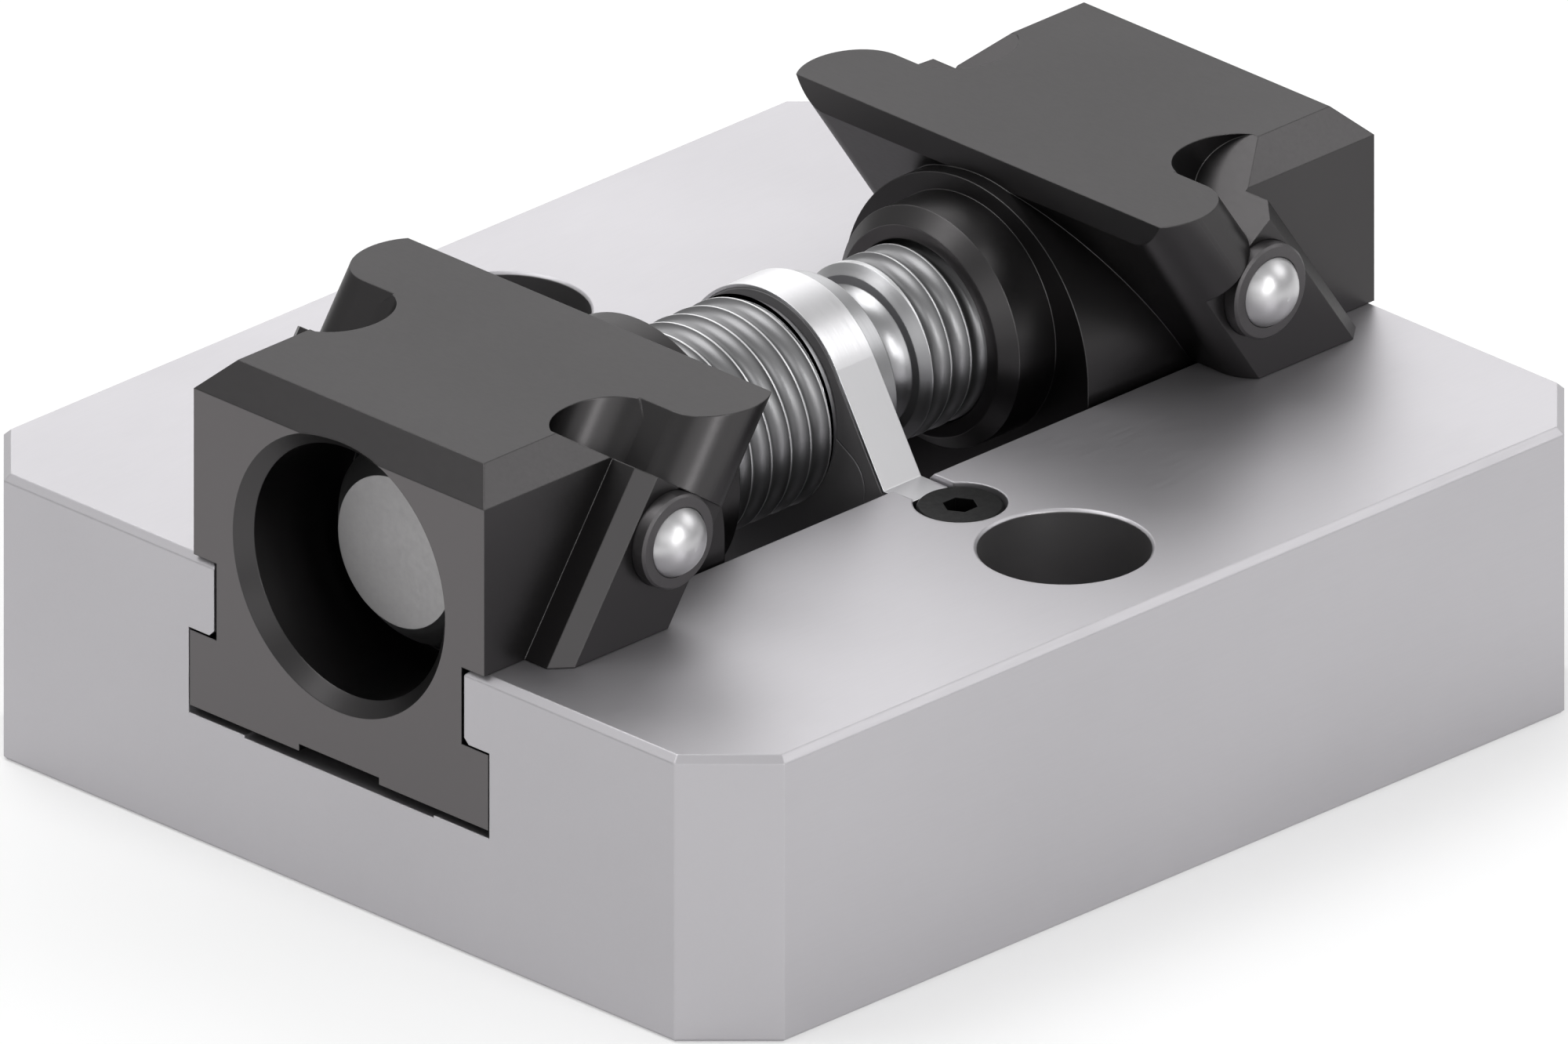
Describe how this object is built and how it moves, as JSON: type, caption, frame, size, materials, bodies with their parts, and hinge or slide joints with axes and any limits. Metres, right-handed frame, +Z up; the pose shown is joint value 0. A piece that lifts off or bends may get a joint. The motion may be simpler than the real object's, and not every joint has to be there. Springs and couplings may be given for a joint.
{
  "type": "self centering vise",
  "caption": "Self centring vise with two slotted jaw carriers that one spindle with opposite threads draws together over a bolt-down base.",
  "frame": {"origin": "middle of the base's underside", "axes": "+X along the spindle towards its drive socket, +Y across the base, +Z up"},
  "size_m": [0.1, 0.0878, 0.0421],
  "materials": {
    "ground_steel": "ground",
    "black_steel": "black oxide",
    "block_steel": "oiled",
    "spindle_steel": "turned",
    "strap_steel": "satin",
    "polished_steel": "polished",
    "spring_steel": "drawn"
  },
  "bodies": {
    "base": {"base_body": "ground_steel", "bearing_block": "block_steel", "bearing_cap": "block_steel", "bearing_strap": "strap_steel", "left_strap_screw": "black_steel", "right_strap_screw": "black_steel"},
    "spindle": {"spindle": "spindle_steel"},
    "near_jaw": {"near_jaw": "black_steel", "near_left_plunger_sleeve": "black_steel", "near_left_plunger_spring": "spring_steel", "near_right_plunger_sleeve": "black_steel", "near_right_plunger_spring": "spring_steel"},
    "far_jaw": {"far_jaw": "black_steel", "far_left_plunger_sleeve": "black_steel", "far_left_plunger_spring": "spring_steel", "far_right_plunger_sleeve": "black_steel", "far_right_plunger_spring": "spring_steel"},
    "near_left_ball": {"near_left_plunger_ball": "polished_steel"},
    "near_right_ball": {"near_right_plunger_ball": "polished_steel"},
    "far_left_ball": {"far_left_plunger_ball": "polished_steel"},
    "far_right_ball": {"far_right_plunger_ball": "polished_steel"}
  },
  "joints": [
    {"name": "spindle_turn", "type": "hinge", "parent": "base", "child": "spindle", "pos_m": [0, 0, 0.0285], "axis": [-1, 0, 0], "range_deg": [0, 1751]},
    {"name": "near_jaw_slide", "type": "slide", "parent": "base", "child": "near_jaw", "axis": [1, 0, 0], "range_m": [0, 0.0107]},
    {"name": "far_jaw_slide", "type": "slide", "parent": "base", "child": "far_jaw", "axis": [-1, 0, 0], "range_m": [0, 0.0107]},
    {"name": "near_left_ball_press", "type": "slide", "parent": "near_jaw", "child": "near_left_ball", "axis": [0, -1, 0], "range_m": [0, 0.0014], "stiffness_N_per_m": 3000, "springref_m": -0.0015, "deforming": ["near_left_plunger_spring"]},
    {"name": "near_right_ball_press", "type": "slide", "parent": "near_jaw", "child": "near_right_ball", "axis": [0, 1, 0], "range_m": [0, 0.0014], "stiffness_N_per_m": 3000, "springref_m": -0.0015, "deforming": ["near_right_plunger_spring"]},
    {"name": "far_left_ball_press", "type": "slide", "parent": "far_jaw", "child": "far_left_ball", "axis": [0, -1, 0], "range_m": [0, 0.0014], "stiffness_N_per_m": 3000, "springref_m": -0.0015, "deforming": ["far_left_plunger_spring"]},
    {"name": "far_right_ball_press", "type": "slide", "parent": "far_jaw", "child": "far_right_ball", "axis": [0, 1, 0], "range_m": [0, 0.0014], "stiffness_N_per_m": 3000, "springref_m": -0.0015, "deforming": ["far_right_plunger_spring"]}
  ],
  "couplings": [
    {"joint": "spindle_turn", "follows": "near_jaw_slide", "rad_per_m": 2856},
    {"joint": "far_jaw_slide", "follows": "near_jaw_slide", "ratio": 1}
  ]
}
